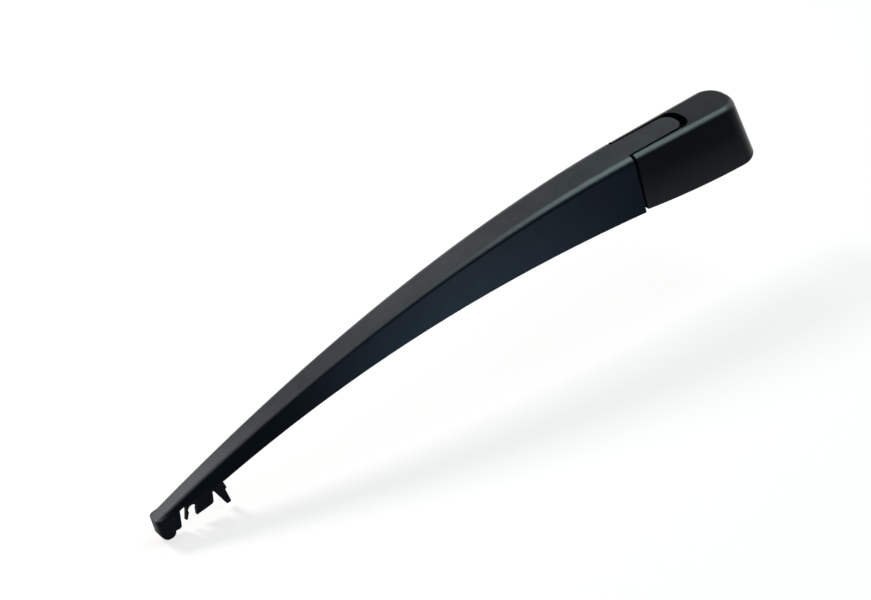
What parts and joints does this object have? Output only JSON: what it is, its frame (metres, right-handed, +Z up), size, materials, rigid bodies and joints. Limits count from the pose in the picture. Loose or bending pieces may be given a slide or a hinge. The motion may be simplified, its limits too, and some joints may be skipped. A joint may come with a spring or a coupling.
{
  "type": "wiper arm",
  "caption": "Arched, tapering rear wiper arm: moulded channel with blade claws at the tip, sprung hinge on a mounting head and a cover cap over the spindle nut.",
  "frame": {"origin": "on the spindle axis, at the bottom face of the mounting head", "axes": "+X from the spindle towards the tip, +Z up along the spindle away from the window, Y across"},
  "size_m": [0.3248, 0.0324, 0.0857],
  "materials": {
    "arm_plastic": "satin black moulded plastic with a fine grain",
    "cap_plastic": "satin black moulded plastic with a fine grain",
    "head_metal": "die-cast, bare",
    "pin_steel": "drawn and plated",
    "bush_brass": "sintered bearing metal",
    "wire_steel": "oiled spring wire"
  },
  "bodies": {
    "head": {"mounting_head": "head_metal", "hinge_pin": "pin_steel", "anchor_pin": "pin_steel"},
    "arm": {"arm_body": "arm_plastic", "hinge_bush_near": "bush_brass", "hinge_bush_far": "bush_brass", "spring_pin": "pin_steel", "tension_spring": "wire_steel"},
    "link": {"spring_link": "wire_steel"},
    "cap": {"head_cap": "cap_plastic"}
  },
  "joints": [
    {"name": "arm_lift", "type": "hinge", "parent": "head", "child": "arm", "pos_m": [0.0263, 0, 0.0145], "axis": [0, -1, 0], "range_deg": [0, 50], "stiffness_Nm_per_rad": 1.2, "springref_deg": -91.67},
    {"name": "spring_stretch", "type": "slide", "parent": "arm", "child": "link", "axis": [-0.9978, 0, 0.0663], "range_m": [0, 0.01015], "deforming": ["tension_spring"]},
    {"name": "cap_pull", "type": "slide", "parent": "head", "child": "cap", "axis": [-0.866, 0, 0.5], "range_m": [0, 0.07]}
  ],
  "couplings": [
    {"joint": "spring_stretch", "follows": "arm_lift", "m_per_rad": 0.011623}
  ]
}
